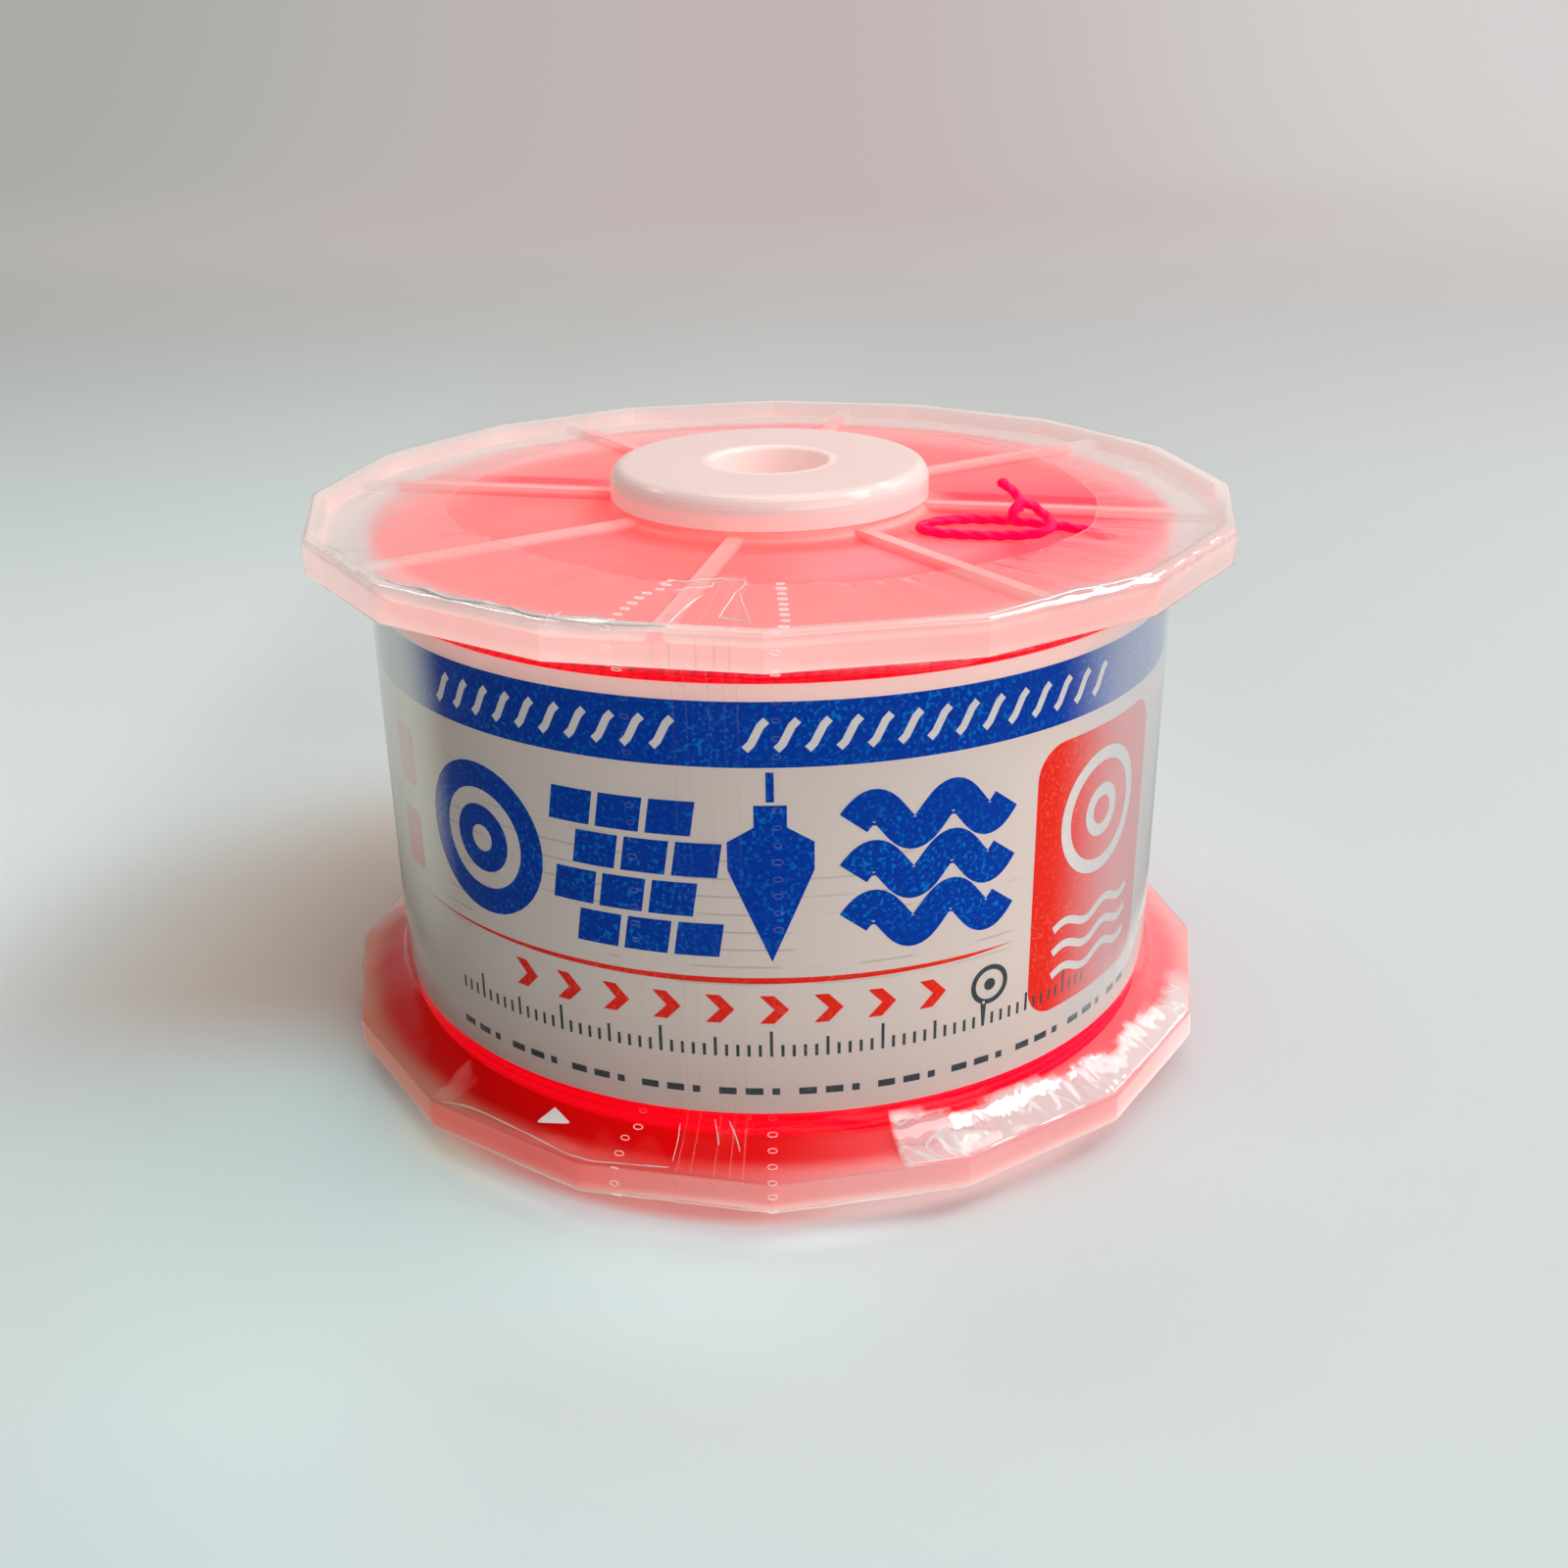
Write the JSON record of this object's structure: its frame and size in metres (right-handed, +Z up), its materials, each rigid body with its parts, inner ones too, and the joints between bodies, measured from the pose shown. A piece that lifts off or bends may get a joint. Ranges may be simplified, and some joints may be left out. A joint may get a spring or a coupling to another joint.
{
  "type": "fishing line spool",
  "caption": "Shrink-wrapped reel of bright line: ribbed many-sided flanges turn on a hollow finger hub, with a paper label band round the winding.",
  "frame": {"origin": "centre of the lower hub disc's face, which the reel stands on", "axes": "+Z up along the reel's axis; a corner of each flange lies on -Y, the side that the label's front faces"},
  "size_m": [0.0922, 0.0922, 0.0596],
  "materials": {
    "hub_plastic": "natural milky polypropylene, satin",
    "reel_plastic": "natural translucent polypropylene, tinted by the line behind it",
    "line": "fluorescent pink twisted nylon",
    "line_end": "the same line, single strand",
    "label_paper": "coated paper with printed bands",
    "film": "clear glossy shrink film"
  },
  "bodies": {
    "hub": {"hub_lower": "hub_plastic", "hub_upper": "hub_plastic"},
    "reel": {"lower_reel_half": "reel_plastic", "upper_reel_half": "reel_plastic", "line_winding": "line", "line_tail": "line_end", "label_band": "label_paper", "shrink_film": "film"}
  },
  "joints": [
    {"name": "reel_spin", "type": "hinge", "parent": "hub", "child": "reel", "pos_m": [0, 0, 0.0298], "axis": [0, 0, 1], "continuous": true}
  ]
}
